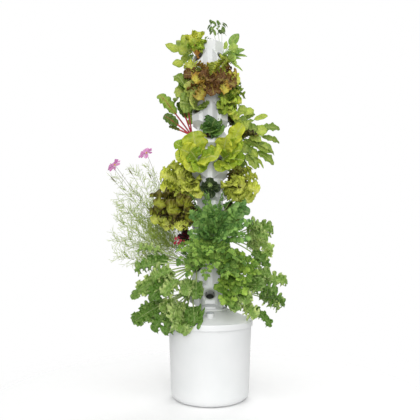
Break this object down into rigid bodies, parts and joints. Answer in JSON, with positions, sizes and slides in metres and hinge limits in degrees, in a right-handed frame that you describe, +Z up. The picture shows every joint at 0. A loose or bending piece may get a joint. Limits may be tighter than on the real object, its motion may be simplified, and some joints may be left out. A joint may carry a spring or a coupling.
{
  "type": "vertical hydroponic garden",
  "caption": "Floor-standing hydroponic tower: stacked octagonal planting sections with slanted ports on a round lidded reservoir, fed by a pump and riser, planted with greens.",
  "frame": {"origin": "middle of the tub's flat bottom, on the floor", "axes": "+Z up along the column, -Y towards the front with the fill cap, +X to the right seen from the front"},
  "size_m": [0.9159, 0.5719, 1.9394],
  "materials": {
    "white_plastic": "satin moulded polyethylene",
    "grey_plastic": "satin",
    "rubber": "matt",
    "pipe_plastic": "smooth extruded pipe",
    "pump_plastic": "matt",
    "impeller_plastic": "smooth",
    "shaft_ceramic": "polished",
    "pot_plastic": "satin",
    "plug_foam": "open-celled foam",
    "green_leaf": "waxy leaf",
    "pale_leaf": "waxy leaf",
    "parsley_leaf": "waxy leaf",
    "basil_leaf": "glossy leaf",
    "bronze_leaf": "waxy leaf",
    "maroon_leaf": "waxy leaf",
    "feathery_leaf": "fine feathery leaf with pink flowers"
  },
  "bodies": {
    "reservoir": {"reservoir_tub": "white_plastic", "lid_seal": "rubber", "pump_housing": "pump_plastic", "pump_cover": "pump_plastic", "impeller_shaft": "shaft_ceramic", "pump_feet": "rubber", "riser_lower": "pipe_plastic", "riser_upper": "pipe_plastic", "riser_coupler": "pipe_plastic"},
    "impeller": {"impeller": "impeller_plastic"},
    "lid": {"reservoir_lid": "white_plastic", "cord_grommet": "rubber", "tower_base": "white_plastic"},
    "fill_cap": {"fill_cap": "grey_plastic"},
    "section_1": {"tower_section_1": "white_plastic", "net_pots_1": "pot_plastic", "grow_plugs_1": "plug_foam", "curly_kales": "green_leaf", "front_kale": "green_leaf", "celery": "parsley_leaf", "cosmos": "feathery_leaf", "back_plants_1": "green_leaf"},
    "section_2": {"tower_section_2": "white_plastic", "net_pots_2": "pot_plastic", "grow_plugs_2": "plug_foam", "parsley": "parsley_leaf", "beet": "maroon_leaf", "upper_kale": "green_leaf", "bronze_oakleaf": "bronze_leaf", "sorrel": "pale_leaf", "back_plants_2": "green_leaf"},
    "section_3": {"tower_section_3": "white_plastic", "net_pots_3": "pot_plastic", "grow_plugs_3": "plug_foam", "tatsoi": "green_leaf", "loose_lettuces": "pale_leaf", "butter_lettuces": "pale_leaf", "back_plants_3": "green_leaf"},
    "section_4": {"tower_section_4": "white_plastic", "net_pots_4": "pot_plastic", "grow_plugs_4": "plug_foam", "romaine": "green_leaf", "chard": "green_leaf", "arugula": "green_leaf", "spinach": "green_leaf", "green_oakleaf": "green_leaf", "back_plants_4": "green_leaf"},
    "section_5": {"tower_section_5": "white_plastic", "net_pots_5": "pot_plastic", "grow_plugs_5": "plug_foam", "maroon_oakleaf": "maroon_leaf", "curly_lettuce": "pale_leaf", "broad_basil": "basil_leaf", "basil": "basil_leaf", "herb_sprigs": "parsley_leaf", "back_plants_5": "green_leaf", "drip_tray": "grey_plastic"},
    "bare_pot": {"bare_net_pot": "pot_plastic"},
    "top_cap": {"top_cap": "white_plastic"}
  },
  "joints": [
    {"name": "impeller_spin", "type": "hinge", "parent": "reservoir", "child": "impeller", "pos_m": [0, 0, 0.035], "axis": [0, 1, 0], "continuous": true},
    {"name": "lid_lift", "type": "slide", "parent": "reservoir", "child": "lid", "axis": [0, 0, 1], "range_m": [0, 0.3]},
    {"name": "fill_cap_pull", "type": "slide", "parent": "lid", "child": "fill_cap", "axis": [0, 0, 1], "range_m": [0, 0.05]},
    {"name": "section_1_lift", "type": "slide", "parent": "lid", "child": "section_1", "axis": [0, 0, 1], "range_m": [0, 0.04]},
    {"name": "section_2_lift", "type": "slide", "parent": "section_1", "child": "section_2", "axis": [0, 0, 1], "range_m": [0, 0.04]},
    {"name": "section_3_lift", "type": "slide", "parent": "section_2", "child": "section_3", "axis": [0, 0, 1], "range_m": [0, 0.04]},
    {"name": "section_4_lift", "type": "slide", "parent": "section_3", "child": "section_4", "axis": [0, 0, 1], "range_m": [0, 0.04]},
    {"name": "section_5_lift", "type": "slide", "parent": "section_4", "child": "section_5", "axis": [0, 0, 1], "range_m": [0, 0.04]},
    {"name": "bare_pot_pull", "type": "slide", "parent": "section_1", "child": "bare_pot", "axis": [0, -0.848, 0.5299], "range_m": [0, 0.06]},
    {"name": "top_cap_lift", "type": "slide", "parent": "section_5", "child": "top_cap", "axis": [0, 0, 1], "range_m": [0, 0.06]}
  ]
}
